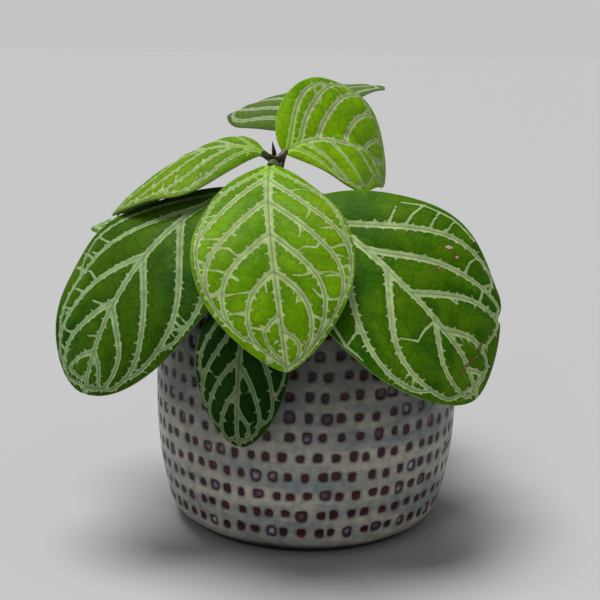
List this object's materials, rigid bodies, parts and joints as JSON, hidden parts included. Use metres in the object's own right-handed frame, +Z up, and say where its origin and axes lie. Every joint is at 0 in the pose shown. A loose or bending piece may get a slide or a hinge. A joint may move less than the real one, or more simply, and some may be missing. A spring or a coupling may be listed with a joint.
{
  "type": "potted chamaeranthemum",
  "caption": "Small houseplant with broad, drooping, white-veined leaves in opposite pairs on a short stem, standing in the soil of a round glazed pot with rows of pressed dots.",
  "frame": {"origin": "centre of the pot's flat foot, on the surface that the pot stands on", "axes": "+Z up along the pot's axis; -Y towards the viewer of the picture; +X to the viewer's right"},
  "size_m": [0.1259, 0.1414, 0.1297],
  "materials": {
    "stoneware_glaze": "gloss",
    "potting_soil": "matte",
    "green_brown_stem": "matte",
    "dark_bud": "matte",
    "young_leaf": "satin",
    "old_leaf": "satin"
  },
  "bodies": {
    "root": {"pot": "stoneware_glaze", "soil": "potting_soil", "main_stem": "green_brown_stem", "side_shoot": "green_brown_stem", "tip_bud": "dark_bud", "side_bud": "dark_bud", "leaf_top_front": "young_leaf", "leaf_top_left": "young_leaf", "leaf_top_right": "young_leaf", "leaf_top_back": "old_leaf", "leaf_middle_left": "old_leaf", "leaf_middle_right": "old_leaf", "leaf_low_front": "old_leaf", "leaf_low_back": "old_leaf", "leaf_low_left": "old_leaf", "leaf_low_right": "old_leaf", "shoot_leaf_right": "young_leaf", "shoot_leaf_left": "young_leaf", "shoot_leaf_back": "old_leaf"}
  },
  "joints": []
}
